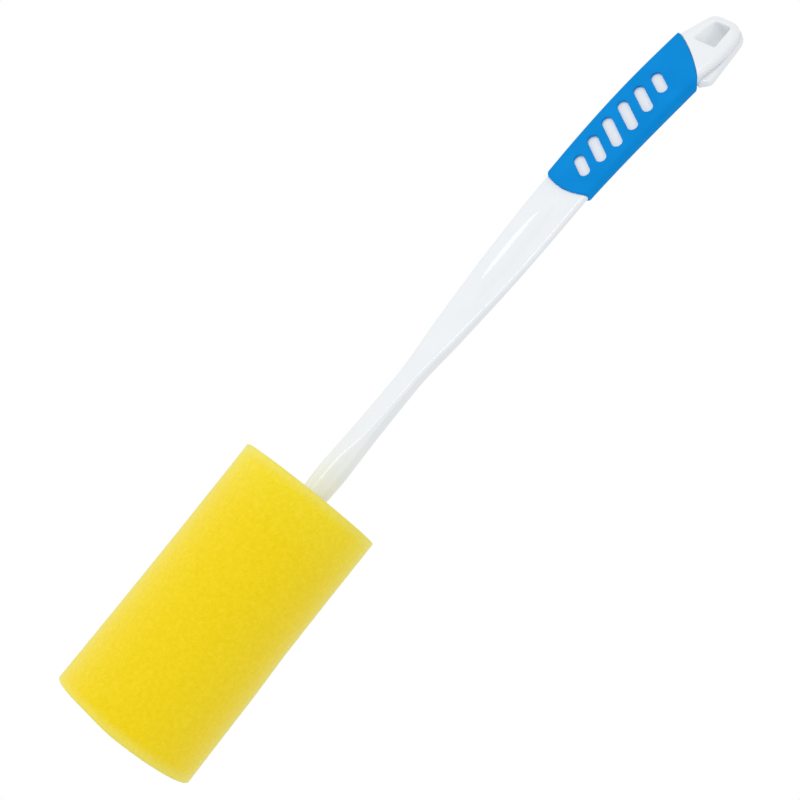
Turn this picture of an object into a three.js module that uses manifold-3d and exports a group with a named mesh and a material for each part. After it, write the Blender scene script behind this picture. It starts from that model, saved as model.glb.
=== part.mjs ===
// Bottle sponge brush: a foam cylinder pushed onto a barbed stem, the stem pressed into the socket
// of a white moulded handle, and a soft blue sleeve with slanted windows round the handle's flat grip.
// Millimetres, +Z up. The origin is the centre of the foam's lower end face, on which the brush can
// stand. The grip's front faces -Y, and its upper end bends towards +X.

import * as THREE from 'three';
import { mergeVertices, toCreasedNormals } from 'three/addons/utils/BufferGeometryUtils.js';
import Module from 'manifold-3d';

const wasm = await Module();
wasm.setup();

// Foam head, with a blind bore that leaves a floor of foam at its end
const spongeDiameter = 66;
const spongeLength = 120.5;
const spongeEdge = 0.4;
const spongeFloor = 18;

// Barbed stem inside the foam, with a collar that stops against the handle
const stemDiameter = 7;
const stemTipGap = 4;
const barbDiameter = 11;
const barbPitch = 14;
const barbLength = 8;
const barbBack = 0.8;
const barbLead = 2;
const collarDiameter = 10;
const collarThickness = 2;

// Handle socket, which reaches into the mouth of the foam
const socketInset = 10.5;
const socketDepth = 26;
const socketNoseDiameter = 10.2;
const socketDiameter = 12.2;

// Lengths of the handle's zones, from the socket's mouth up to the sleeve
const swellLength = 23;
const shoulderLength = 23;
const waistLength = 24;
const flareLength = 28;
const spreadLength = 36;
const paddleLength = 41;

// Widths and depths where those zones meet
const shoulderWidth = 10.2;
const shoulderDepth = 7.7;
const waistWidth = 9.9;
const waistDepth = 6.1;
const flareWidth = 14.9;
const flareDepth = 5.1;
const spreadWidth = 20.5;
const spreadDepth = 3.5;
const paddleWidth = 22.4;
const paddleDepth = 3.4;
const neckCorner = 1.6;
const paddleCorner = 1;
const partingRidge = 0.3;

// Long shallow hollow in the front of the paddle
const hollowLength = 52;
const hollowWidth = 9.5;
const hollowDepth = 0.7;
const hollowFromGrip = 8;

// Grip and its sleeve
const gripLength = 79;
const gripSwellUp = 64;
const gripSwellWidth = 26.4;
const gripSwellDepth = 7;
const sleeveProud = 0.75;
const sleeveRaise = 1.3;
const sleeveWall = 1.1;
const lowerRimSag = 3.2;
const rimCornerLift = 4;
const rimCornerStart = 0.7;
const upperRimSlant = 18.4;
const upperRimBulge = 9.1;
const upperRimRake = 0.45;
const bendRadius = 650;
const bendLead = 16;

// Windows in the front of the sleeve
const windowCount = 6;
const windowPitch = 9.6;
const windowWidth = 4.8;
const windowLongest = 17;
const windowShortest = 9.5;
const windowTilt = THREE.MathUtils.degToRad(30);

// Hang end: a beaded flange behind, and a crowned front that a groove sets off from it
const headLength = 20.6;
const headTopWidth = 17.9;
const headRightReach = 10.6;
const headLeftReach = 12.1;
const headFront = 3.9;
const headBack = 3.7;
const headCrownRise = 1.5;
const headCrownWidth = 3;
const headBackEdge = 0.8;
const headRightCorner = 8;
const headLeftCorner = 4.5;
const frontStep = 0.9;
const frontDrop = 0.5;
const frontLeftReach = 1.2;
const grooveWidth = 0.4;
const grooveInset = 0.4;
const flangeBead = 1.2;
const frontBulge = 0.7;
const heelFlare = 1;
const heelReach = 3.3;
const heelCut = 0.6;
const heelCorner = 1.6;
const heelRise = 0.6;
const heelTaper = 5;
const coreTuck = 8;

// Hanging slot through that end: its left wall is a ramp, so the slot narrows towards the back
const slotHeight = 11;
const slotWidth = 11.8;
const slotTopWidth = 8.4;
const slotBackWidth = 5;
const slotCorner = 1.2;
const slotTopWall = 3.6;
const slotSideWall = 5.5;

// The foam sits slightly out of line with the handle
const handleLean = THREE.MathUtils.degToRad(1.2);
const leanHeight = 38;

// Clearances between pieces
const fitGap = 0.3;
const rimGap = 0.4;
const barbGap = 0.35;

// Fineness of the faceted forms
const foamSides = 64;
const stemSides = 28;
const cornerSteps = 3;
const curveSteps = 14;
const crownSteps = 5;
const beadSteps = 3;
const tipSteps = 3;
const ringSpacing = 4;
const roundLimit = 0.95;
const cutterReach = 40;

// Heights along the handle, measured on its own axis
const socketMouth = spongeLength - socketInset;
const shoulderHeight = socketMouth + swellLength + shoulderLength;
const waistHeight = shoulderHeight + waistLength;
const flareHeight = waistHeight + flareLength;
const spreadHeight = flareHeight + spreadLength;
const gripLow = spreadHeight + paddleLength;
const gripHigh = gripLow + gripLength;
const handleTop = gripHigh + headLength;
const headRight = bendAt(handleTop) + headRightReach;

function toSolid(geometry) {
  const bare = geometry.clone();
  bare.deleteAttribute('normal');
  bare.deleteAttribute('uv');
  const merged = mergeVertices(bare, 1e-5);
  const vertProperties = new Float32Array(merged.attributes.position.array);
  const triVerts = new Uint32Array(merged.index.array);
  return new wasm.Manifold(new wasm.Mesh({ numProp: 3, vertProperties, triVerts }));
}

function toGeometry(solid) {
  const mesh = solid.getMesh();
  const geometry = new THREE.BufferGeometry();
  geometry.setAttribute('position', new THREE.BufferAttribute(mesh.vertProperties, 3));
  geometry.setIndex(new THREE.BufferAttribute(mesh.triVerts, 1));
  return toCreasedNormals(geometry, Math.PI / 6);
}

// The handle runs straight up to the paddle and then bends to one side.
function bendAt(z) {
  return Math.max(z - gripLow + bendLead, 0) ** 2 / (2 * bendRadius);
}

// Smooth value of one size at height z: a cubic between neighbouring stations, level at each turn.
function along(stations, key, z) {
  const last = stations.length - 1;
  const rise = (i) => (stations[i + 1][key] - stations[i][key]) / (stations[i + 1].z - stations[i].z);
  const slope = (i) => {
    if (i === 0 || i === last) return rise(i === 0 ? 0 : last - 1);
    if (rise(i - 1) * rise(i) <= 0) return 0;
    return (stations[i + 1][key] - stations[i - 1][key]) / (stations[i + 1].z - stations[i - 1].z);
  };
  let i = 0;
  while (i < last - 1 && z > stations[i + 1].z) i += 1;
  const span = stations[i + 1].z - stations[i].z;
  const t = (z - stations[i].z) / span;
  const level = stations[i][key] * (1 + 2 * t) * (1 - t) ** 2 + stations[i + 1][key] * t * t * (3 - 2 * t);
  return level + span * t * (1 - t) * (slope(i) * (1 - t) - slope(i + 1) * t);
}

// Rounded rectangle, drawn anticlockwise from above, with a ridge at the parting line on each side.
function sectionRing(z, width, depth, corner) {
  const halfWidth = width / 2;
  const halfDepth = depth / 2;
  const radius = Math.min(corner, roundLimit * halfWidth, roundLimit * halfDepth);
  const ridge = partingRidge * (1 - radius / halfWidth);
  const ring = [];
  const corners = [[1, -1, -0.5], [1, 1, 0], [-1, 1, 0.5], [-1, -1, 1]];
  for (const [sideX, sideY, turn] of corners) {
    for (let k = 0; k <= cornerSteps; k += 1) {
      const angle = Math.PI * (turn + (0.5 * k) / cornerSteps);
      const x = sideX * (halfWidth - ridge - radius) + radius * Math.cos(angle);
      const y = sideY * (halfDepth - radius) + radius * Math.sin(angle);
      ring.push(new THREE.Vector3(bendAt(z) + x, y, z));
    }
    if (sideX * sideY < 0) ring.push(new THREE.Vector3(bendAt(z) + sideX * halfWidth, 0, z));
  }
  return ring;
}

// Closed skin over rings of equal count, capped by a fan at each end.
function skin(rings) {
  const count = rings[0].length;
  const index = [];
  for (let i = 0; i + 1 < rings.length; i += 1) {
    for (let k = 0; k < count; k += 1) {
      const a = i * count + k;
      const b = i * count + ((k + 1) % count);
      index.push(a, b, b + count, a, b + count, a + count);
    }
  }
  const top = (rings.length - 1) * count;
  for (let k = 1; k + 1 < count; k += 1) {
    index.push(0, k + 1, k, top, top + k, top + k + 1);
  }
  const geometry = new THREE.BufferGeometry().setFromPoints(rings.flat());
  geometry.setIndex(index);
  return geometry;
}

// Loft through stations, each grown outward by the same amount.
function loft(stations, grow = 0) {
  const low = stations[0].z;
  const high = stations[stations.length - 1].z;
  const steps = Math.ceil((high - low) / ringSpacing);
  const rings = [];
  for (let i = 0; i <= steps; i += 1) {
    const z = low + ((high - low) * i) / steps;
    const width = along(stations, 'width', z) + 2 * grow;
    const depth = along(stations, 'depth', z) + 2 * grow;
    rings.push(sectionRing(z, width, depth, along(stations, 'corner', z) + grow));
  }
  return toSolid(skin(rings));
}

// Outline in the grip's plane (x across, y up the handle), each corner rounded by its own radius.
function roundedShape(corners) {
  const shape = new THREE.Shape();
  corners.forEach(([x, z, radius], i) => {
    const here = new THREE.Vector2(x, z);
    const before = new THREE.Vector2(...corners[(i + corners.length - 1) % corners.length]);
    const after = new THREE.Vector2(...corners[(i + 1) % corners.length]);
    const enter = here.clone().add(before.sub(here).setLength(radius));
    const leave = here.clone().add(after.sub(here).setLength(radius));
    if (i === 0) shape.moveTo(enter.x, enter.y);
    else shape.lineTo(enter.x, enter.y);
    if (radius > 0) shape.quadraticCurveTo(here.x, here.y, leave.x, leave.y);
  });
  shape.closePath();
  return shape;
}

// Straight cutter of an outline in the grip's plane, from y = front to y = back.
function plate(shape, front, back) {
  const options = { depth: back - front, bevelEnabled: false, curveSegments: curveSteps };
  return new THREE.ExtrudeGeometry(shape, options).rotateX(Math.PI / 2).translate(0, back, 0);
}

// Round socket, square-edged neck, flat paddle. The last zone runs on under the sleeve.
const round = socketDiameter / 2;
const handleStations = [
  { z: socketMouth, width: socketNoseDiameter, depth: socketNoseDiameter, corner: round },
  { z: socketMouth + swellLength, width: socketDiameter, depth: socketDiameter, corner: round },
  { z: shoulderHeight, width: shoulderWidth, depth: shoulderDepth, corner: neckCorner },
  { z: waistHeight, width: waistWidth, depth: waistDepth, corner: neckCorner },
  { z: flareHeight, width: flareWidth, depth: flareDepth, corner: neckCorner },
  { z: spreadHeight, width: spreadWidth, depth: spreadDepth, corner: paddleCorner },
  { z: gripLow, width: paddleWidth, depth: paddleDepth, corner: paddleCorner },
  { z: gripLow + 2 * lowerRimSag, width: paddleWidth, depth: paddleDepth, corner: paddleCorner },
];

// The core inside the sleeve is set in from the sleeve's outside by the wall and the fit.
const coreInset = 2 * (sleeveWall + fitGap);
const coreStart = {
  z: gripLow - lowerRimSag,
  width: paddleWidth + 2 * sleeveProud - coreInset,
  depth: paddleDepth + 2 * sleeveRaise - coreInset,
  corner: paddleCorner,
};
const coreSwell = {
  z: gripLow + gripSwellUp,
  width: gripSwellWidth - coreInset,
  depth: gripSwellDepth - coreInset,
  corner: paddleCorner,
};
const coreStations = [coreStart, coreSwell, { ...coreSwell, z: gripHigh },
  { ...coreSwell, z: gripHigh + coreTuck, width: headTopWidth }];
const sleeveStations = [coreStart, coreSwell, { ...coreSwell, z: gripHigh + headLength }];

// The grip's region: both rims bow outward, the lower one turns up round its left corner, and the upper
// one slants and also falls towards the back.
function gripRegion(gap) {
  const half = gripSwellWidth / 2;
  const middle = bendAt(gripHigh);
  const left = middle - gripSwellWidth;
  const right = middle + gripSwellWidth;
  const lowEnd = gripLow + lowerRimSag - gap;
  const lower = new THREE.Shape();
  lower.moveTo(left, lowEnd + rimCornerLift);
  for (let k = -curveSteps; k <= curveSteps; k += 1) {
    const across = k / curveSteps;
    const turned = Math.max(-across - rimCornerStart, 0) / (1 - rimCornerStart);
    lower.lineTo(half * across, lowEnd - lowerRimSag * (1 - across ** 2) + rimCornerLift * turned ** 2);
  }
  lower.lineTo(right, lowEnd);
  lower.lineTo(right, handleTop + cutterReach);
  lower.lineTo(left, handleTop + cutterReach);
  lower.closePath();
  const rim = gripHigh + gap;
  const upper = new THREE.Shape();
  upper.moveTo(right, rim - upperRimSlant - upperRimBulge);
  upper.quadraticCurveTo(middle, rim + upperRimBulge, left, rim + upperRimSlant - upperRimBulge);
  upper.lineTo(left, gripLow - cutterReach);
  upper.lineTo(right, gripLow - cutterReach);
  upper.closePath();
  const rake = new THREE.Matrix4().makeShear(0, 0, 0, -upperRimRake, 0, 0);
  const raked = plate(upper, -cutterReach, cutterReach).applyMatrix4(rake);
  raked.translate(0, 0, (-upperRimRake * gripSwellDepth) / 2);
  return toSolid(plate(lower, -cutterReach, cutterReach)).intersect(toSolid(raked));
}

// Convex form with one outline, set in by its own amount at each depth.
function domed(corners, profile) {
  const points = roundedShape(corners).getPoints(curveSteps / 2).map((point) => point.toArray());
  const outline = new wasm.CrossSection([points]);
  const layers = profile.map(([y, inset]) => outline.offset(-inset).toPolygons().flat()
    .map(([x, z]) => [x, y, z]));
  return wasm.Manifold.hull(layers.flat());
}

// The head's flange has a heel that flares past the sleeve on the right. Its front has that heel cut away.
function makeHead() {
  const left = bendAt(gripHigh) - headLeftReach;
  const topLeft = headRight - headTopWidth;
  const heelLow = gripHigh - upperRimSlant / 2 + heelRise;
  const flangeCorners = [
    [left, gripHigh - heelReach, 0],
    [headRight - heelReach, heelLow - heelCorner, 0],
    [headRight + heelFlare, heelLow + heelCorner, heelCorner],
    [headRight, handleTop, headRightCorner],
    [topLeft, handleTop, headLeftCorner],
  ];
  const frontCorners = [
    [left - frontLeftReach, gripHigh, 0],
    [headRight - heelReach - heelCut, heelLow - heelCorner, 0],
    [headRight + frontBulge, gripHigh + heelTaper, headRightCorner],
    [headRight - frontStep, handleTop - frontDrop, headRightCorner - frontStep],
    [topLeft + frontStep, handleTop - frontDrop, headLeftCorner - frontStep],
  ];
  const crown = [[0, 0]];
  for (let k = 0; k <= crownSteps; k += 1) {
    const angle = (Math.PI / 2) * (k / crownSteps);
    crown.push([headCrownRise * (1 - Math.sin(angle)) - headFront, headCrownWidth * (1 - Math.cos(angle))]);
  }
  const flange = [[headBack, headBackEdge], [headBack - headBackEdge, 0]];
  for (let k = 0; k <= beadSteps; k += 1) {
    const angle = (Math.PI / 2) * (k / beadSteps);
    flange.push([grooveWidth + flangeBead * (1 - Math.sin(angle)), flangeBead * (1 - Math.cos(angle))]);
  }
  const web = [[-grooveWidth, grooveInset], [2 * grooveWidth, grooveInset]];
  const front = domed(frontCorners, crown).add(domed(frontCorners, web));
  return front.add(domed(flangeCorners, flange));
}

function makeSlot() {
  const top = handleTop - slotTopWall;
  const right = headRight - slotSideWall;
  const outlineAt = (y) => {
    const back = (y + headFront) / (headFront + headBack);
    const left = (width) => right - width + (width - slotBackWidth) * back;
    const shape = roundedShape([
      [left(slotWidth), top - slotHeight, slotCorner],
      [right, top - slotHeight, slotCorner],
      [right, top, slotCorner],
      [left(slotTopWidth), top, slotCorner],
    ]);
    return shape.getPoints(curveSteps / 2).map((point) => [point.x, y, point.y]);
  };
  return wasm.Manifold.hull([...outlineAt(-headFront - rimGap), ...outlineAt(headBack + rimGap)]);
}

function makeSocket() {
  const radius = stemDiameter / 2 + fitGap;
  const geometry = new THREE.CylinderGeometry(radius, radius, 2 * socketDepth, stemSides);
  return toSolid(geometry.rotateX(Math.PI / 2).translate(0, 0, socketMouth));
}

// The hollow is one side of a long ellipsoid that dips below the paddle's front face.
function makeHollow() {
  const radius = (hollowWidth ** 2 / 4 + hollowDepth ** 2) / (2 * hollowDepth);
  const y = hollowDepth - radius - spreadDepth / 2;
  const z = gripLow - hollowFromGrip - hollowLength / 2;
  const geometry = new THREE.SphereGeometry(radius, foamSides, foamSides / 2).rotateX(Math.PI / 2);
  return toSolid(geometry.scale(1, 1, hollowLength / hollowWidth).translate(0, y, z));
}

function makeHandle() {
  const moulding = loft(handleStations).add(makeHead()).subtract(gripRegion(rimGap));
  const cored = moulding.add(loft(coreStations));
  return toGeometry(cored.subtract(makeSlot()).subtract(makeSocket()).subtract(makeHollow()));
}

// A row of slanted windows, longest in the middle of the grip, that show the white core.
function makeWindow(i) {
  const row = (windowCount - 1) * windowPitch;
  const middle = gripLow + (gripLength - upperRimSlant / 2 + lowerRimSag) / 2;
  const z = middle - row / 2 + i * windowPitch;
  const fullness = Math.sin((Math.PI * (i + 0.5)) / windowCount);
  const length = windowShortest + (windowLongest - windowShortest) * fullness;
  const offset = (length - windowWidth) / 2;
  const shape = new THREE.Shape();
  shape.absarc(offset, 0, windowWidth / 2, -Math.PI / 2, Math.PI / 2);
  shape.absarc(-offset, 0, windowWidth / 2, Math.PI / 2, 1.5 * Math.PI);
  return toSolid(plate(shape, -cutterReach, 0).rotateY(windowTilt).translate(bendAt(z), 0, z));
}

function makeSleeve() {
  const outside = loft(sleeveStations, fitGap + sleeveWall);
  let sleeve = outside.subtract(loft(coreStations, fitGap)).intersect(gripRegion(0));
  for (let i = 0; i < windowCount; i += 1) sleeve = sleeve.subtract(makeWindow(i));
  return toGeometry(sleeve);
}

// Barbs widen towards the handle, so the foam goes on easily and resists being pulled off.
function makeStem() {
  const radius = stemDiameter / 2;
  const tip = spongeFloor + stemTipGap;
  const top = socketMouth + socketDepth - fitGap;
  const collarTop = socketMouth - fitGap;
  const collarLow = collarTop - collarThickness;
  const profile = [new THREE.Vector2(0, tip)];
  for (let k = 1; k <= tipSteps; k += 1) {
    const angle = (Math.PI / 2) * (k / tipSteps);
    profile.push(new THREE.Vector2(radius * Math.sin(angle), tip + radius * (1 - Math.cos(angle))));
  }
  const firstBarb = tip + radius + barbLead;
  for (let z = firstBarb; z + barbLength + barbBack < collarLow; z += barbPitch) {
    profile.push(new THREE.Vector2(radius, z));
    profile.push(new THREE.Vector2(barbDiameter / 2, z + barbLength));
    profile.push(new THREE.Vector2(radius, z + barbLength + barbBack));
  }
  profile.push(new THREE.Vector2(radius, collarLow));
  profile.push(new THREE.Vector2(collarDiameter / 2, collarLow));
  profile.push(new THREE.Vector2(collarDiameter / 2, collarTop));
  profile.push(new THREE.Vector2(radius, collarTop));
  profile.push(new THREE.Vector2(radius, top));
  profile.push(new THREE.Vector2(0, top));
  return new THREE.LatheGeometry(profile, stemSides).rotateX(Math.PI / 2);
}

// Straight bore for the stem, opening out at its mouth round the nose of the socket.
function makeBore() {
  const boreRadius = Math.max(barbDiameter, collarDiameter) / 2 + barbGap;
  const noseRadius = Math.max(boreRadius, socketNoseDiameter / 2 + fitGap);
  const mouthRadius = Math.max(noseRadius, socketDiameter / 2 + fitGap);
  const geometry = new THREE.LatheGeometry([
    new THREE.Vector2(0, spongeFloor),
    new THREE.Vector2(boreRadius, spongeFloor),
    new THREE.Vector2(boreRadius, socketMouth - 2 * fitGap),
    new THREE.Vector2(noseRadius, socketMouth - fitGap),
    new THREE.Vector2(mouthRadius, spongeLength),
    new THREE.Vector2(mouthRadius, spongeLength + socketInset),
    new THREE.Vector2(0, spongeLength + socketInset),
  ], stemSides).rotateX(Math.PI / 2);
  return toSolid(geometry.translate(0, 0, -leanHeight).rotateY(handleLean).translate(0, 0, leanHeight));
}

function makeSponge() {
  const radius = spongeDiameter / 2;
  const block = new THREE.LatheGeometry([
    new THREE.Vector2(0, 0),
    new THREE.Vector2(radius - spongeEdge, 0),
    new THREE.Vector2(radius, spongeEdge),
    new THREE.Vector2(radius, spongeLength - spongeEdge),
    new THREE.Vector2(radius - spongeEdge, spongeLength),
    new THREE.Vector2(0, spongeLength),
  ], foamSides).rotateX(Math.PI / 2);
  return toGeometry(toSolid(block).subtract(makeBore()));
}

function piece(name, geometry, color, roughness) {
  const material = new THREE.MeshStandardMaterial({ color, roughness, metalness: 0 });
  const mesh = new THREE.Mesh(geometry, material);
  mesh.name = name;
  return mesh;
}

// Everything on the handle's axis leans together about a point inside the foam.
const leaning = new THREE.Group();
leaning.rotation.y = handleLean;
leaning.position.x = -leanHeight * Math.sin(handleLean);
leaning.position.z = leanHeight * (1 - Math.cos(handleLean));
leaning.add(piece('handle', makeHandle(), 0xf2f4f7, 0.22));
leaning.add(piece('grip_sleeve', makeSleeve(), 0x0f8ee0, 0.55));
leaning.add(piece('foam_stem', makeStem(), 0xeef0f2, 0.3));

const brush = new THREE.Group();
brush.name = 'bottle_sponge_brush';
brush.add(leaning);
brush.add(piece('sponge', makeSponge(), 0xf0d428, 0.95));

export default brush;
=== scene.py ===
import math

import bpy
import numpy as np
from mathutils import Matrix, Vector, noise


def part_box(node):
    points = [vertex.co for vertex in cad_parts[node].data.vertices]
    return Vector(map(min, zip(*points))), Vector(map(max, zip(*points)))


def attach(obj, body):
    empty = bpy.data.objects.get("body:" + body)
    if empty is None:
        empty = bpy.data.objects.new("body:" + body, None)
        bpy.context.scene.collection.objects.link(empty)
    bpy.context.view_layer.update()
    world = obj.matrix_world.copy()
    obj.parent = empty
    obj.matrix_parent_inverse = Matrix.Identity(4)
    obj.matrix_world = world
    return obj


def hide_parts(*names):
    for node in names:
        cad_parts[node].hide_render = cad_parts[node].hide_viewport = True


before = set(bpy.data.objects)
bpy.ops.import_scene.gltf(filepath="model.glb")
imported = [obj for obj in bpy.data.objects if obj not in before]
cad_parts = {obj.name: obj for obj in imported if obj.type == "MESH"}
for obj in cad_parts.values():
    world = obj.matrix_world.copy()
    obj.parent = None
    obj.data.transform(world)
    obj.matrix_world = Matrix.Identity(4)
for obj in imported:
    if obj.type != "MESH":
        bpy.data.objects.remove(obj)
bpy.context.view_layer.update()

# Sizes are in millimetres on the handle's own axis, as in the part's source, and become metres in
# the meshes. The handle leans about a point inside the foam.
MM = 0.001
LEAN = math.radians(1.2)
LEAN_HEIGHT = 38.0

# Heights up the handle
SOCKET_MOUTH = 110.0
GRIP_LOW = 285.0
GRIP_HIGH = 364.0
HANDLE_TOP = 384.6

# Stations of a loft: height, width, depth, corner radius
BODY = [
    (SOCKET_MOUTH, 10.2, 10.2, 6.1),
    (133.0, 12.2, 12.2, 6.1),
    (156.0, 10.2, 7.7, 2.0),
    (180.0, 9.9, 6.1, 1.0),
    (208.0, 14.9, 5.1, 0.8),
    (244.0, 20.5, 3.5, 0.6),
    (GRIP_LOW, 22.4, 3.4, 0.6),
    (291.4, 22.4, 3.4, 0.6),
]
CORE = [
    (281.8, 21.1, 3.2, 1.0),
    (349.0, 23.6, 4.2, 1.0),
    (GRIP_HIGH, 23.6, 4.2, 1.0),
    (372.0, 17.9, 4.2, 1.0),
]
SLEEVE = [(281.8, 23.9, 6.0, 1.8), (349.0, 26.4, 7.0, 1.8), (HANDLE_TOP, 26.4, 7.0, 1.8)]
PARTING_RIDGE = 0.12
ROUND_LIMIT = 0.95
SHOULDER_WIDTH = 1.8
SHOULDER_FALL = 0.5
BEND_START = 269.0
BEND_RADIUS = 650.0

# Sleeve rims and windows
GRIP_WIDTH = 26.4
GRIP_FRONT = -3.5
LOWER_SAG = 3.2
CORNER_LIFT = 4.0
CORNER_START = 0.7
RIM_SLANT = 18.4
RIM_BULGE = 9.1
RIM_RAKE = 0.45
RIM_GAP = 0.05
SLEEVE_FIT = 0.05
SLEEVE_EDGE = 0.6
WINDOW_COUNT = 6
WINDOW_PITCH = 9.6
WINDOW_WIDTH = 4.8
WINDOW_LONGEST = 17.0
WINDOW_SHORTEST = 9.5
WINDOW_TILT = math.radians(30)
WINDOW_MIDDLE = 321.5
WINDOW_EDGE = 0.35

# Hang end
HEAD_FRONT = 3.9
HEAD_BACK = 3.7
CROWN_RISE = 1.5
CROWN_WIDTH = 3.0
CROWN_LIMIT = 0.98
GROOVE_DEPTH = 0.3
GROOVE_EDGE = 1.1
WEB_REACH = 2.0
FLANGE_EDGE = 0.8
FLANGE_BEAD = 1.2
FLANGE_OUTLINE = [
    (-5.2, 360.7, 0.0),
    (17.6, 353.8, 0.0),
    (21.9, 357.0, 1.6),
    (20.9, HANDLE_TOP, 8.0),
    (3.0, HANDLE_TOP, 4.5),
]
FRONT_OUTLINE = [
    (-6.4, 364.0, 0.0),
    (17.0, 353.8, 0.0),
    (21.6, 369.0, 8.0),
    (20.0, 384.1, 7.1),
    (3.9, 384.1, 3.6),
]
SLOT_LOW = 370.0
SLOT_HIGH = 381.0
SLOT_RIGHT = 15.4
SLOT_LOW_LEFT = 3.6
SLOT_HIGH_LEFT = 7.0
SLOT_BACK_LEFT = 11.0
SLOT_CORNER = 1.2
SLOT_EDGE = 0.7
SLOT_RAMP = 0.85

# Hollow in the paddle's front
HOLLOW_HEIGHT = 255.0
HOLLOW_RADIUS = 16.5
HOLLOW_DEPTH = 0.7
HOLLOW_STRETCH = 5.5
HOLLOW_SOFTNESS = 0.2
PADDLE_FRONT = -1.75

# Socket and stem
SOCKET_RADIUS = 3.8
SOCKET_TOP = 136.0
STEM_RADIUS = 3.5
STEM_TIP = 22.0
STEM_TOP = 135.7
BARB_RADIUS = 5.5
BARB_FIRST = 27.5
BARB_PITCH = 14.0
BARB_LENGTH = 8.0
BARB_BACK = 0.8
BARB_LIP_LOW = 0.4
BARB_LIP_HIGH = 0.15
STEM_ROUND = 0.2
COLLAR_RADIUS = 5.0
COLLAR_LOW = 107.7
COLLAR_HIGH = 109.7
STEM_SPACING = 1.2
STEM_SIDES = 48

# Foam
FOAM_EDGE = 0.5
FOAM_FLOOR = 18.0
BORE_RADIUS = 5.85
MOUTH_RADIUS = 6.0
FOAM_GRAIN = 0.1
GRAIN_FREQUENCY = 0.9
FINE_FREQUENCY = 2.1
FINE_SHARE = 0.6
FOAM_WAIST = 0.45
FOAM_WAIST_HEIGHT = 72.0
PALE_FROM = 92.0
PALE_TO = 122.0
# Width of the painted highlight at each end of the foam, in millimetres
END_HIGHLIGHT_BAND = 5.6
TOP_SKEW = 0.4
BOTTOM_LIFT = 1.0
LIFT_FROM = 0.0
LIFT_TO = 0.6
LIFT_HEIGHT = 6.0
SIDE_BULGE = 0.5
BULGE_TOP = 64.0
BULGE_FULL = 40.0
FOAM_SPACING = 0.6
FOAM_SIDES = 400

# Camera, fitted to the photograph: it looks slightly up at the brush, and is rolled.
FOCUS = 72.0
SENSOR_WIDTH = 36.0
AZIMUTH = math.radians(35)
PITCH = math.radians(-7)
EYE = Vector((0.37899, -0.53289, 0.093))
ROLL_COS, ROLL_SIN = 0.78328, 0.62167

# Studio: sizes in metres
AMBIENT_COLOUR = (0.97, 0.985, 1, 1)
AMBIENT_STRENGTH = 0.82
FLOOR_HEIGHT = -0.16
FLOOR_RADIUS = 0.46
FLOOR_FADE = 0.2
FLOOR_SIDES = 96

# Boxes that the meshes are made in, and the fineness of the meshes
HANDLE_BOX = ((-13, -7.1, SOCKET_MOUTH), (24, 7, HANDLE_TOP))
SLEEVE_BOX = ((-15, -4.1, GRIP_LOW), (22, 4, 373))
HANDLE_STEP = 0.28
SLEEVE_STEP = 0.25
PROJECT_ROUNDS = 4
GRADIENT_STEP = 0.02
GRID_MARGIN = 2.37  # steps, not a whole number, so that no flat face lies on the grid
KEEP_APART = 0.01  # share of the way back to its cell, so that no two points meet
FAR = 50.0


def bend_at(z):
    return np.maximum(z - BEND_START, 0) ** 2 / (2 * BEND_RADIUS)


def along(stations, column):
    """A function that gives one size at any height: a cubic between stations, level at each turn."""
    z = np.array([s[0] for s in stations])
    v = np.array([s[column] for s in stations])
    rise = np.diff(v) / np.diff(z)
    slope = np.concatenate([rise[:1], np.zeros(len(v) - 2), rise[-1:]])
    middle = (v[2:] - v[:-2]) / (z[2:] - z[:-2])
    slope[1:-1] = np.where(rise[:-1] * rise[1:] > 0, middle, 0)

    def at(height):
        i = np.clip(np.searchsorted(z, height, side="right") - 1, 0, len(z) - 2)
        span = z[i + 1] - z[i]
        t = np.clip((height - z[i]) / span, 0, 1)
        level = v[i] * (1 + 2 * t) * (1 - t) ** 2 + v[i + 1] * t * t * (3 - 2 * t)
        return level + span * t * (1 - t) * (slope[i] * (1 - t) - slope[i + 1] * t)

    return at


def loft(stations):
    """Distance to a bent bar with rounded-rectangle sections and a parting ridge on its sides."""
    width, depth, corner = (along(stations, column) for column in (1, 2, 3))
    low, high = stations[0][0], stations[-1][0]

    def distance(p, grow=0.0):
        x, y, z = p.T
        half_width = width(z) / 2 + grow
        half_depth = depth(z) / 2 + grow
        radius = np.minimum(corner(z) + grow, ROUND_LIMIT * np.minimum(half_width, half_depth))
        flatness = 1 - radius / half_width
        side = np.abs(x - bend_at(z)) + flatness * PARTING_RIDGE * np.abs(y) / half_depth
        shoulder = np.clip((side - half_width) / SHOULDER_WIDTH + 1, 0, 1)
        qx = side - half_width + radius
        qy = np.abs(y) + flatness * SHOULDER_FALL * shoulder**2 - half_depth + radius
        outside = np.hypot(np.maximum(qx, 0), np.maximum(qy, 0))
        section = outside + np.minimum(np.maximum(qx, qy), 0) - radius
        return np.maximum(section, np.maximum(low - z, z - high))

    return distance


def round_max(a, b, radius):
    """What two forms share, with the edge between them rounded."""
    edge = np.hypot(np.maximum(radius + a, 0), np.maximum(radius + b, 0))
    return np.minimum(-radius, np.maximum(a, b)) + edge


def soft_max(a, b, width):
    """What two forms share, blended where their faces meet at a shallow angle."""
    blend = np.maximum(width - np.abs(a - b), 0) / width
    return np.maximum(a, b) + blend * blend * width / 4


def rounded_outline(corners, steps=8):
    """Points of a closed outline, each corner (x, z, radius) rounded."""
    points = []
    for i, (x, z, radius) in enumerate(corners):
        here = np.array([x, z])
        before = np.array(corners[i - 1][:2]) - here
        after = np.array(corners[(i + 1) % len(corners)][:2]) - here
        enter = here + before * radius / np.linalg.norm(before)
        leave = here + after * radius / np.linalg.norm(after)
        for t in np.linspace(0, 1, steps) if radius else [0.5]:
            points.append(enter * (1 - t) ** 2 + here * 2 * t * (1 - t) + leave * t * t)
    return np.array(points)


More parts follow.
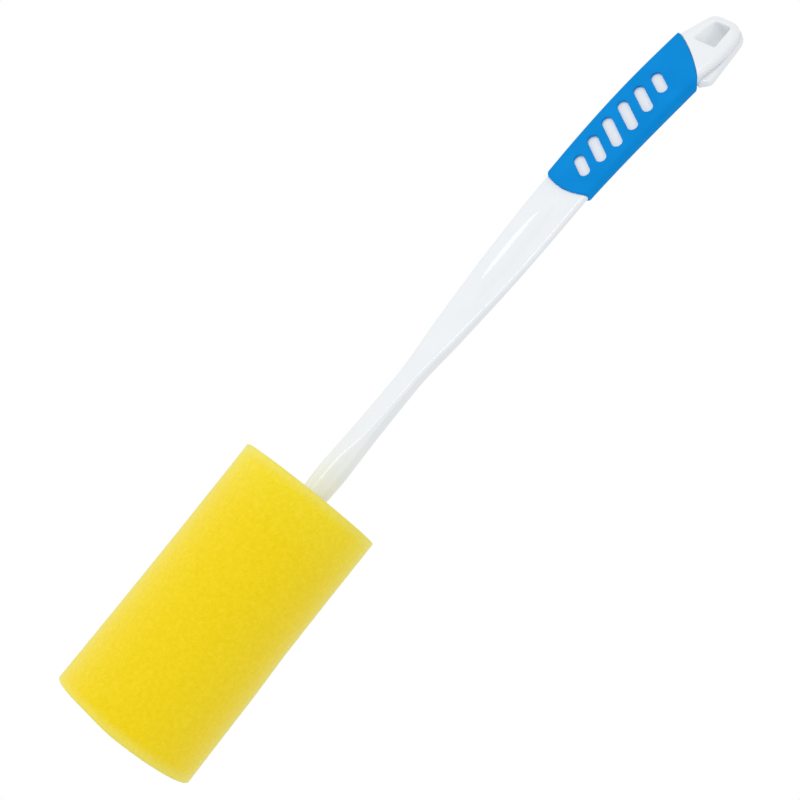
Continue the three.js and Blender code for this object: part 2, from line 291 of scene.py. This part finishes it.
def outline_distance(outline, x, z):
    """Distance to a closed outline in the grip's plane, negative inside."""
    following = np.roll(outline, -1, 0)
    edge_x, edge_z = (following - outline).T
    px = x[:, None] - outline[:, 0]
    pz = z[:, None] - outline[:, 1]
    t = np.clip((px * edge_x + pz * edge_z) / (edge_x**2 + edge_z**2), 0, 1)
    gap = np.hypot(px - t * edge_x, pz - t * edge_z).min(1)
    level = np.where(edge_z == 0, 1e-9, edge_z)
    spans = (outline[:, 1] > z[:, None]) != (following[:, 1] > z[:, None])
    crossings = (spans & (px < edge_x * pz / level)).sum(1)
    return np.where(crossings % 2 == 1, -gap, gap)


def near_head(distance):
    """The same distance, worked out only round the hang end."""

    def limited(p):
        found = np.full(len(p), FAR)
        near = p[:, 2] > GRIP_HIGH - RIM_SLANT - 5
        if near.any():
            found[near] = distance(p[near])
        return found

    return limited


def grip_region(p, gap):
    """The sleeve's stretch of the grip: both rims bow, and the upper one slants and is raked."""
    x, y, z = p.T
    across = np.clip(x / (GRIP_WIDTH / 2), -1, 1)
    corner = np.maximum(-across - CORNER_START, 0) / (1 - CORNER_START)
    lower = GRIP_LOW - gap + LOWER_SAG * across**2 + CORNER_LIFT * corner**2
    u = (x - bend_at(GRIP_HIGH)) / GRIP_WIDTH
    upper = GRIP_HIGH + gap - RIM_SLANT * u - RIM_BULGE * u * u - RIM_RAKE * (y - GRIP_FRONT)
    steep = np.sqrt(1 + RIM_RAKE**2 + ((RIM_SLANT + 2 * RIM_BULGE * u) / GRIP_WIDTH) ** 2)
    return np.maximum(lower - z, (z - upper) / steep)


body_distance = loft(BODY)
core_distance = loft(CORE)
sleeve_distance = loft(SLEEVE)
flange_points = rounded_outline(FLANGE_OUTLINE)
front_points = rounded_outline(FRONT_OUTLINE)


@near_head
def head_distance(p):
    """The hang end: a crowned front, a groove round it, and a beaded flange behind."""
    x, y, z = p.T
    front_edge = outline_distance(front_points, x, z)
    flange_edge = outline_distance(flange_points, x, z)
    near_edge = CROWN_LIMIT * np.clip(1 + front_edge / CROWN_WIDTH, 0, 1)
    fall = np.sqrt(1 - near_edge**2)
    slope = CROWN_RISE / CROWN_WIDTH * near_edge / fall
    crown = (CROWN_RISE * (1 - fall) - HEAD_FRONT - y) / np.sqrt(1 + slope**2)
    front = round_max(np.maximum(crown, front_edge), y, GROOVE_EDGE)
    flange = round_max(round_max(flange_edge, -y, FLANGE_BEAD), y - HEAD_BACK, FLANGE_EDGE)
    web = np.maximum(np.maximum(front_edge, flange_edge) + GROOVE_DEPTH, np.abs(y) - WEB_REACH)
    return np.minimum(np.minimum(front, flange), web)


@near_head
def slot_distance(p):
    """The hang slot: its left wall is a ramp, so the slot narrows towards the back."""
    x, y, z = p.T
    back = (y + HEAD_FRONT) / (HEAD_FRONT + HEAD_BACK)
    up = (z - SLOT_LOW) / (SLOT_HIGH - SLOT_LOW)
    front_left = SLOT_LOW_LEFT + (SLOT_HIGH_LEFT - SLOT_LOW_LEFT) * up
    left = front_left + (SLOT_BACK_LEFT - front_left) * back
    across = round_max(SLOT_RAMP * (left - x), x - SLOT_RIGHT, SLOT_EDGE)
    return round_max(across, np.maximum(SLOT_LOW - z, z - SLOT_HIGH), SLOT_CORNER)


def hollow_distance(p):
    """A long ellipsoid that dips below the paddle's front."""
    centre = np.array([0, PADDLE_FRONT + HOLLOW_DEPTH - HOLLOW_RADIUS, HOLLOW_HEIGHT])
    radii = np.array([HOLLOW_RADIUS, HOLLOW_RADIUS, HOLLOW_RADIUS * HOLLOW_STRETCH])
    q = (p - centre) / radii
    size = np.linalg.norm(q, axis=1)
    return size * (size - 1) / np.maximum(np.linalg.norm(q / radii, axis=1), 1e-6)


def handle_distance(p):
    moulding = np.minimum(body_distance(p), head_distance(p))
    moulding = round_max(moulding, -grip_region(p, RIM_GAP), RIM_GAP)
    form = np.minimum(moulding, core_distance(p))
    form = round_max(form, -slot_distance(p), SLOT_EDGE)
    socket = np.maximum(np.hypot(p[:, 0], p[:, 1]) - SOCKET_RADIUS, p[:, 2] - SOCKET_TOP)
    form = np.maximum(form, -socket)
    return soft_max(form, -hollow_distance(p), HOLLOW_SOFTNESS)


def window_distance(p, i):
    """One slanted window, open to the front."""
    height = WINDOW_MIDDLE + (i - (WINDOW_COUNT - 1) / 2) * WINDOW_PITCH
    fullness = math.sin(math.pi * (i + 0.5) / WINDOW_COUNT)
    length = WINDOW_SHORTEST + (WINDOW_LONGEST - WINDOW_SHORTEST) * fullness
    x = p[:, 0] - bend_at(height)
    z = p[:, 2] - height
    lengthwise = x * math.cos(WINDOW_TILT) - z * math.sin(WINDOW_TILT)
    across = x * math.sin(WINDOW_TILT) + z * math.cos(WINDOW_TILT)
    beyond = np.maximum(np.abs(lengthwise) - (length - WINDOW_WIDTH) / 2, 0)
    return np.maximum(np.hypot(beyond, across) - WINDOW_WIDTH / 2, p[:, 1])


def sleeve_form(p):
    form = round_max(sleeve_distance(p), grip_region(p, 0), SLEEVE_EDGE)
    form = np.maximum(form, -core_distance(p, SLEEVE_FIT))
    for i in range(WINDOW_COUNT):
        form = round_max(form, -window_distance(p, i), WINDOW_EDGE)
    return form


def gradient(distance, p):
    shifts = np.eye(3) * GRADIENT_STEP
    return np.stack([distance(p + s) - distance(p - s) for s in shifts], 1) / (2 * GRADIENT_STEP)


def surface_net(distance, low, high, step):
    """Points, quads and normals of the form where distance is 0.

    There is one point for each cell of the grid that the surface crosses.
    """
    xs, ys, zs = (np.arange(a - GRID_MARGIN * step, b + 3 * step, step) for a, b in zip(low, high))
    flat = np.stack(np.meshgrid(xs, ys, [0.0], indexing="ij"), -1).reshape(-1, 3)
    layers = [distance(flat + (0, 0, z)).reshape(len(xs), len(ys)) for z in zs]
    inside = np.stack(layers, -1) < 0
    corners = sum(
        inside[i : i + len(xs) - 1, j : j + len(ys) - 1, k : k + len(zs) - 1].astype(int)
        for i in (0, 1) for j in (0, 1) for k in (0, 1)
    )
    crossed = (corners > 0) & (corners < 8)
    index = np.full(crossed.shape, -1)
    index[crossed] = np.arange(crossed.sum())
    centres = np.argwhere(crossed) * step + (xs[0], ys[0], zs[0]) + np.full(3, step / 2)
    points = centres
    for _ in range(PROJECT_ROUNDS):
        g = gradient(distance, points)
        move = distance(points)[:, None] * g / np.maximum((g * g).sum(1), 0.2)[:, None]
        points = points - np.clip(move, -step, step)
    points = points + KEEP_APART * (centres - points)
    quads = []
    for axis in range(3):
        order = (axis, (axis + 1) % 3, (axis + 2) % 3)
        solid, cells = inside.transpose(order), index.transpose(order)
        first, second = solid[:-1, 1:-1, 1:-1], solid[1:, 1:-1, 1:-1]
        i, j, k = np.nonzero(first != second)
        around = [cells[i, j, k], cells[i, j + 1, k], cells[i, j + 1, k + 1], cells[i, j, k + 1]]
        quad = np.stack(around, 1)
        turned = ~first[i, j, k]
        quad[turned] = quad[turned, ::-1]
        quads.append(quad)
    return points, np.concatenate(quads).tolist(), gradient(distance, points)


def on_handle(points):
    """From the handle's own axis, in millimetres, to the frame of the whole brush, in metres."""
    x, y, z = points.T
    up = z - LEAN_HEIGHT
    leaned_x = x * math.cos(LEAN) + up * math.sin(LEAN)
    leaned_z = up * math.cos(LEAN) - x * math.sin(LEAN) + LEAN_HEIGHT
    return np.stack([leaned_x, y, leaned_z], 1) * MM


def leaned(normals):
    """Unit directions, turned as the handle leans."""
    x, y, z = normals.T
    turned = np.stack(
        [x * math.cos(LEAN) + z * math.sin(LEAN), y, z * math.cos(LEAN) - x * math.sin(LEAN)], 1
    )
    return turned / np.maximum(np.linalg.norm(turned, axis=1), 1e-6)[:, None]


def add_piece(name, points, faces, material, body, node, normals=None):
    mesh = bpy.data.meshes.new(name)
    mesh.from_pydata(points.tolist(), [], faces)
    mesh.polygons.foreach_set("use_smooth", np.ones(len(mesh.polygons), bool))
    mesh.materials.append(material)
    mesh.update()
    if normals is not None:
        mesh.normals_split_custom_set_from_vertices(normals.tolist())
    piece = bpy.data.objects.new(name, mesh)
    bpy.context.scene.collection.objects.link(piece)
    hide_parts(node)
    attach(piece, body)
    return piece


def revolve(profile, sides):
    """Points and faces of a (radius, height) profile, from the axis to the axis, turned about Z."""
    angle = np.arange(sides) * 2 * math.pi / sides
    radius, height = np.array(profile[1:-1]).T
    x = radius[:, None] * np.cos(angle)
    y = radius[:, None] * np.sin(angle)
    rings = np.stack([x, y, np.broadcast_to(height[:, None], x.shape)], -1).reshape(-1, 3)
    poles = [(0, 0, profile[0][1]), (0, 0, profile[-1][1])]
    ring = np.arange(sides)
    turn = np.roll(ring, -1)
    rows = np.arange(len(radius) - 1)[:, None] * sides
    quads = np.stack([rows + ring, rows + turn, rows + sides + turn, rows + sides + ring], -1)
    first, last = len(rings), len(rings) + 1
    end = len(rings) - sides
    faces = quads.reshape(-1, 4).tolist()
    faces += [(first, b, a) for a, b in zip(ring.tolist(), turn.tolist())]
    faces += [(last, end + a, end + b) for a, b in zip(ring.tolist(), turn.tolist())]
    return np.concatenate([rings, poles]), faces


def smooth_step(value, low, high):
    """A smooth rise from 0 to 1 between two values."""
    t = np.clip((value - low) / (high - low), 0, 1)
    return t * t * (3 - 2 * t)


def spaced(profile, step):
    """The same profile with points no further apart than step."""
    points = [profile[0]]
    for a, b in zip(profile, profile[1:]):
        count = max(1, math.ceil(math.dist(a, b) / step))
        start, way = np.array(a), np.array(b) - np.array(a)
        points += [tuple(start + way * k / count) for k in range(1, count + 1)]
    return points


def nodes_of(name):
    material = bpy.data.materials.new(name)
    material.use_nodes = True
    tree = material.node_tree
    return material, tree, tree.nodes["Principled BSDF"]


def texture(tree, kind, scale, **settings):
    """A procedural texture in the piece's own coordinates."""
    place = tree.nodes.new("ShaderNodeTexCoord")
    made = tree.nodes.new(kind)
    tree.links.new(place.outputs["Object"], made.inputs["Vector"])
    made.inputs["Scale"].default_value = scale
    for key, value in settings.items():
        made.inputs[key].default_value = value
    return made


def ramp(tree, value, stops):
    made = tree.nodes.new("ShaderNodeValToRGB")
    while len(made.color_ramp.elements) < len(stops):
        made.color_ramp.elements.new(0.5)
    for element, (position, colour) in zip(made.color_ramp.elements, stops):
        element.position = position
        element.color = (*colour, 1)
    tree.links.new(value, made.inputs["Fac"])
    return made.outputs["Color"]


def spread(tree, value, low, high):
    """A noise value mapped to run between two numbers."""
    made = tree.nodes.new("ShaderNodeMapRange")
    made.inputs["From Min"].default_value = 0.3
    made.inputs["From Max"].default_value = 0.7
    made.inputs["To Min"].default_value = low
    made.inputs["To Max"].default_value = high
    tree.links.new(value, made.inputs["Value"])
    return made.outputs["Result"]


def rise(tree, value, low, high):
    """A smooth rise from 0 to 1 between two heights in millimetres."""
    made = tree.nodes.new("ShaderNodeMapRange")
    made.interpolation_type = "SMOOTHSTEP"
    made.inputs["From Min"].default_value = low * MM
    made.inputs["From Max"].default_value = high * MM
    tree.links.new(value, made.inputs["Value"])
    return made.outputs["Result"]


def blend(tree, factor, first, second):
    """From the first colour to the second as the factor goes from 0 to 1."""
    made = tree.nodes.new("ShaderNodeMix")
    made.data_type = "RGBA"
    tree.links.new(factor, made.inputs["Factor"])
    tree.links.new(first, made.inputs["A"])
    tree.links.new(second, made.inputs["B"])
    return made.outputs["Result"]


def bump(tree, shader, height, strength, depth):
    made = tree.nodes.new("ShaderNodeBump")
    made.inputs["Strength"].default_value = strength
    made.inputs["Distance"].default_value = depth
    tree.links.new(height, made.inputs["Height"])
    tree.links.new(made.outputs["Normal"], shader.inputs["Normal"])


def srgb(red, green, blue):
    """Linear colour from 8-bit sRGB values."""
    shares = (red / 255, green / 255, blue / 255)
    return tuple(c / 12.92 if c <= 0.04045 else ((c + 0.055) / 1.055) ** 2.4 for c in shares)


def plastic(name, pale, shade):
    """Glossy moulded plastic with faint flow marks and a fine skin."""
    material, tree, shader = nodes_of(name)
    flow = texture(tree, "ShaderNodeTexNoise", 60, Detail=3)
    colour = ramp(tree, flow.outputs["Fac"], [(0.3, shade), (0.7, pale)])
    tree.links.new(colour, shader.inputs["Base Color"])
    haze = texture(tree, "ShaderNodeTexNoise", 220, Detail=4)
    tree.links.new(spread(tree, haze.outputs["Fac"], 0.1, 0.16), shader.inputs["Roughness"])
    skin = texture(tree, "ShaderNodeTexNoise", 900, Detail=2)
    bump(tree, shader, skin.outputs["Fac"], 0.04, 0.0002)
    return material


def soft_rubber():
    """Blue thermoplastic rubber with a fine matt grain."""
    material, tree, shader = nodes_of("blue_rubber")
    cloud = texture(tree, "ShaderNodeTexNoise", 90, Detail=4)
    colours = [(0.3, srgb(3, 133, 210)), (0.7, srgb(7, 140, 217))]
    tree.links.new(ramp(tree, cloud.outputs["Fac"], colours), shader.inputs["Base Color"])
    wear = texture(tree, "ShaderNodeTexNoise", 400, Detail=3)
    tree.links.new(spread(tree, wear.outputs["Fac"], 0.5, 0.62), shader.inputs["Roughness"])
    shader.inputs["Specular IOR Level"].default_value = 0.04
    grain = texture(tree, "ShaderNodeTexNoise", 2600, Detail=2)
    bump(tree, shader, grain.outputs["Fac"], 0.15, 0.0002)
    return material


def foam_material(bottom, top):
    """Open-celled yellow foam: mottled colour, paler towards the top, a painted highlight at both
    ends, tiny pores and a soft sheen.
    """
    material, tree, shader = nodes_of("yellow_foam")
    mottle = texture(tree, "ShaderNodeTexNoise", 520, Detail=6, Roughness=0.7)
    colours = [(0.3, srgb(237, 207, 4)), (0.5, srgb(242, 212, 15)), (0.7, srgb(247, 218, 38))]
    pale = [(0.3, srgb(238, 213, 22)), (0.5, srgb(243, 218, 34)), (0.7, srgb(247, 224, 58))]
    # Painted highlight: paler colours near both ends of the foam, for light caught along its cut
    # edges.
    highlight_colours = [(0.3, srgb(237, 220, 85)), (0.7, srgb(242, 226, 102))]
    end_highlight = ramp(tree, mottle.outputs["Fac"], highlight_colours)
    place = tree.nodes.new("ShaderNodeTexCoord")
    split = tree.nodes.new("ShaderNodeSeparateXYZ")
    tree.links.new(place.outputs["Object"], split.inputs["Vector"])
    height = split.outputs["Z"]
    towards_top = rise(tree, height, PALE_FROM, PALE_TO)
    body = blend(tree, towards_top, ramp(tree, mottle.outputs["Fac"], colours),
                 ramp(tree, mottle.outputs["Fac"], pale))
    # Painted highlight: the colour turns paler within the end band at the bottom and at the top.
    lower = blend(tree, rise(tree, height, bottom + END_HIGHLIGHT_BAND, bottom), body, end_highlight)
    colour = blend(tree, rise(tree, height, top - END_HIGHLIGHT_BAND, top), lower, end_highlight)
    tree.links.new(colour, shader.inputs["Base Color"])
    shader.inputs["Roughness"].default_value = 0.95
    shader.inputs["Specular IOR Level"].default_value = 0.05
    shader.inputs["Sheen Weight"].default_value = 1.0
    shader.inputs["Sheen Roughness"].default_value = 0.48
    shader.inputs["Sheen Tint"].default_value = (1, 1, 0.47, 1)
    cells = texture(tree, "ShaderNodeTexVoronoi", 1500)
    bump(tree, shader, cells.outputs["Distance"], 0.25, 0.0004)
    return material


def make_handle():
    points, faces, normals = surface_net(handle_distance, *HANDLE_BOX, HANDLE_STEP)
    white = plastic("white_plastic", srgb(235, 238, 240), srgb(232, 235, 238))
    add_piece("handle_moulding", on_handle(points), faces, white,
              "grip", "handle", leaned(normals))


def make_sleeve():
    points, faces, normals = surface_net(sleeve_form, *SLEEVE_BOX, SLEEVE_STEP)
    add_piece("sleeve_moulding", on_handle(points), faces, soft_rubber(),
              "grip", "grip_sleeve", leaned(normals))


def stem_profile():
    """Half section of the stem: a round tip, barbs that widen towards the handle, and a collar."""
    profile = [(STEM_RADIUS * math.sin(a), STEM_TIP + STEM_RADIUS * (1 - math.cos(a)))
               for a in np.linspace(0, math.pi / 2, 8)]
    z = BARB_FIRST
    while z + BARB_LENGTH + BARB_BACK < COLLAR_LOW:
        widest = z + BARB_LENGTH
        profile += [
            (STEM_RADIUS, z),
            (BARB_RADIUS - STEM_ROUND, widest - BARB_LIP_LOW),
            (BARB_RADIUS, widest),
            (BARB_RADIUS - STEM_ROUND, widest + BARB_LIP_HIGH),
            (STEM_RADIUS, widest + BARB_BACK),
        ]
        z += BARB_PITCH
    profile += [
        (STEM_RADIUS, COLLAR_LOW),
        (COLLAR_RADIUS - STEM_ROUND, COLLAR_LOW),
        (COLLAR_RADIUS, COLLAR_LOW + STEM_ROUND),
        (COLLAR_RADIUS, COLLAR_HIGH - STEM_ROUND),
        (COLLAR_RADIUS - STEM_ROUND, COLLAR_HIGH),
        (STEM_RADIUS, COLLAR_HIGH),
        (STEM_RADIUS, STEM_TOP),
        (0, STEM_TOP),
    ]
    return profile


def make_stem():
    points, faces = revolve(spaced(stem_profile(), STEM_SPACING), STEM_SIDES)
    grey = plastic("stem_plastic", srgb(238, 240, 242), srgb(228, 231, 234))
    add_piece("barbed_stem", on_handle(points), faces, grey, "grip", "foam_stem")


def foam_profile(radius, bottom, top):
    """Half section of the foam, from the middle of its lower end to the floor of its bore."""
    return [
        (0, bottom),
        (radius - FOAM_EDGE, bottom),
        (radius, bottom + FOAM_EDGE),
        (radius, top - FOAM_EDGE),
        (radius - FOAM_EDGE, top),
        (MOUTH_RADIUS + 1, top),
        (MOUTH_RADIUS, top - 1),
        (BORE_RADIUS, SOCKET_MOUTH),
        (BORE_RADIUS, FOAM_FLOOR),
        (0, FOAM_FLOOR),
    ]


def settle_foam(points, reach, radius, top):
    """Lean the bore with the handle, and give the block its slight waist, skew, lift and bulge."""
    x, y, z = points.T
    inner = np.clip(1 - (reach - MOUTH_RADIUS) / (radius - MOUTH_RADIUS), 0, 1)
    inner[z < FOAM_FLOOR - 1] = 0
    points[:, 0] += inner * (z - LEAN_HEIGHT) * math.tan(LEAN)
    away = (z - FOAM_WAIST_HEIGHT) / FOAM_WAIST_HEIGHT
    waist = FOAM_WAIST * (1 - away**2) * (1 - inner)
    points[:, :2] *= (1 - waist / np.maximum(reach, 1))[:, None]
    askew = np.clip(-(x * math.cos(AZIMUTH) + y * math.sin(AZIMUTH)) / radius, -1, 1)
    points[:, 2] += np.where(z > top - 1, TOP_SKEW * (askew - 1) / 2, 0) * (1 - inner)
    lift = BOTTOM_LIFT * smooth_step(askew, LIFT_FROM, LIFT_TO)
    points[:, 2] += lift * np.clip(1 - z / LIFT_HEIGHT, 0, 1)
    bulge = SIDE_BULGE * np.maximum(-askew, 0) * smooth_step(z, BULGE_TOP, BULGE_FULL)
    points[:, :2] *= (1 + bulge * (reach > radius / 2) / np.maximum(reach, 1))[:, None]


def roughen_foam(points, reach, bottom, top):
    """Push the foam's surface in and out by its open cells."""
    x, y, z = points.T
    grain = np.array([
        noise.noise(Vector(p)) + FINE_SHARE * noise.noise(Vector(p * FINE_FREQUENCY))
        for p in points * GRAIN_FREQUENCY
    ])
    outward = np.stack([x, y, np.zeros(len(x))], 1) / np.maximum(reach, 0.1)[:, None]
    flat_end = (np.abs(z - bottom) < 0.01) | (np.abs(z - top) < 0.01)
    outward[flat_end] = np.where(z[flat_end] > top / 2, 1, -1)[:, None] * np.array([0, 0, 1])
    points += outward * (FOAM_GRAIN * np.clip(grain, -1, 1))[:, None]


def make_foam():
    """The foam block: crisp cut edges, a rough open-celled face, and the bore for the stem."""
    low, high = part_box("sponge")
    radius = (high.x - low.x) / 2 / MM - FOAM_GRAIN
    bottom, top = low.z / MM + FOAM_GRAIN, high.z / MM - FOAM_GRAIN
    profile = foam_profile(radius, bottom, top)
    points, faces = revolve(spaced(profile, FOAM_SPACING), FOAM_SIDES)
    reach = np.hypot(points[:, 0], points[:, 1])
    settle_foam(points, reach, radius, top)
    roughen_foam(points, reach, bottom, top)
    foam = add_piece("foam_block", points * MM, faces, foam_material(bottom, top),
                     "head", "sponge")


def camera_axes():
    flat = math.cos(PITCH)
    back = Vector((math.sin(AZIMUTH) * flat, -math.cos(AZIMUTH) * flat, math.sin(PITCH)))
    level = Vector((math.cos(AZIMUTH), math.sin(AZIMUTH), 0))
    upward = back.cross(level)
    right = ROLL_COS * level + ROLL_SIN * upward
    return right, back.cross(right), back


def make_camera():
    camera = bpy.data.objects.new("camera", bpy.data.cameras.new("camera"))
    right, up, back = camera_axes()
    turn = Matrix((right, up, back)).transposed().to_4x4()
    camera.matrix_world = Matrix.Translation(EYE) @ turn
    camera.data.sensor_width = SENSOR_WIDTH
    camera.data.lens = FOCUS
    bpy.context.scene.collection.objects.link(camera)
    bpy.context.scene.camera = camera


def add_light(name, aim, azimuth, height, distance, size, power):
    """A soft lamp aimed at a height on the brush. Azimuth 0 is straight before the grip."""
    target = Vector((0, 0, aim))
    around, above = math.radians(azimuth), math.radians(height)
    flat = math.cos(above)
    towards = Vector((math.sin(around) * flat, -math.cos(around) * flat, math.sin(above)))
    light = bpy.data.objects.new(name, bpy.data.lights.new(name, "AREA"))
    light.data.shape = "RECTANGLE"
    light.data.size, light.data.size_y = size
    light.data.energy = power
    light.location = target + towards * distance
    light.rotation_mode = "QUATERNION"
    light.rotation_quaternion = (target - light.location).to_track_quat("-Z", "Y")
    bpy.context.scene.collection.objects.link(light)


def make_world():
    """Plain soft studio light, with a white background behind the brush."""
    world = bpy.data.worlds.new("studio")
    bpy.context.scene.world = world
    world.use_nodes = True
    tree = world.node_tree
    tree.nodes.clear()
    path = tree.nodes.new("ShaderNodeLightPath")
    seen = path.outputs["Is Camera Ray"]
    for ray in ("Is Glossy Ray", "Is Transmission Ray"):
        either = tree.nodes.new("ShaderNodeMath")
        either.operation = "MAXIMUM"
        tree.links.new(seen, either.inputs[0])
        tree.links.new(path.outputs[ray], either.inputs[1])
        seen = either.outputs["Value"]
    ambient = tree.nodes.new("ShaderNodeBackground")
    ambient.inputs["Color"].default_value = AMBIENT_COLOUR
    ambient.inputs["Strength"].default_value = AMBIENT_STRENGTH
    white = tree.nodes.new("ShaderNodeBackground")
    white.inputs["Strength"].default_value = 1
    white.inputs["Color"].default_value = (1, 1, 1, 1)
    mix = tree.nodes.new("ShaderNodeMixShader")
    tree.links.new(seen, mix.inputs["Fac"])
    tree.links.new(ambient.outputs["Background"], mix.inputs[1])
    tree.links.new(white.outputs["Background"], mix.inputs[2])
    output = tree.nodes.new("ShaderNodeOutputWorld")
    tree.links.new(mix.outputs["Shader"], output.inputs["Surface"])


def make_floor():
    """A pale disc below the brush that fades into the white background."""
    angles = np.arange(FLOOR_SIDES) * 2 * math.pi / FLOOR_SIDES
    rim = [(FLOOR_RADIUS * math.cos(a), FLOOR_RADIUS * math.sin(a), FLOOR_HEIGHT) for a in angles]
    mesh = bpy.data.meshes.new("floor")
    mesh.from_pydata(rim, [], [range(FLOOR_SIDES)])
    floor = bpy.data.objects.new("floor", mesh)
    bpy.context.scene.collection.objects.link(floor)
    material, tree, shader = nodes_of("floor_paint")
    shader.inputs["Base Color"].default_value = (0.9, 0.9, 0.9, 1)
    shader.inputs["Roughness"].default_value = 0.9
    place = tree.nodes.new("ShaderNodeTexCoord")
    length = tree.nodes.new("ShaderNodeVectorMath")
    length.operation = "LENGTH"
    tree.links.new(place.outputs["Object"], length.inputs[0])
    fade = tree.nodes.new("ShaderNodeMapRange")
    fade.interpolation_type = "SMOOTHSTEP"
    fade.inputs["From Min"].default_value = math.hypot(FLOOR_FADE, FLOOR_HEIGHT)
    fade.inputs["From Max"].default_value = math.hypot(FLOOR_RADIUS, FLOOR_HEIGHT)
    tree.links.new(length.outputs["Value"], fade.inputs["Value"])
    clear = tree.nodes.new("ShaderNodeBsdfTransparent")
    mix = tree.nodes.new("ShaderNodeMixShader")
    tree.links.new(fade.outputs["Result"], mix.inputs["Fac"])
    tree.links.new(shader.outputs["BSDF"], mix.inputs[1])
    tree.links.new(clear.outputs["BSDF"], mix.inputs[2])
    tree.links.new(mix.outputs["Shader"], tree.nodes["Material Output"].inputs["Surface"])
    mesh.materials.append(material)


make_camera()
make_world()
make_floor()
add_light("key", aim=0.19, azimuth=-18, height=14, distance=1.1, size=(0.9, 0.9), power=1.0)
add_light("side", aim=0.06, azimuth=-60, height=0, distance=0.32, size=(0.25, 0.25), power=0.125)
add_light("strip", aim=0.19, azimuth=-12, height=9, distance=1.1, size=(0.2, 0.6), power=1.4)
add_light("fill", aim=0.19, azimuth=80, height=0, distance=1.1, size=(0.8, 0.8), power=1.3)
make_handle()
make_sleeve()
make_stem()
make_foam()

bpy.context.scene.view_settings.view_transform = "Standard"
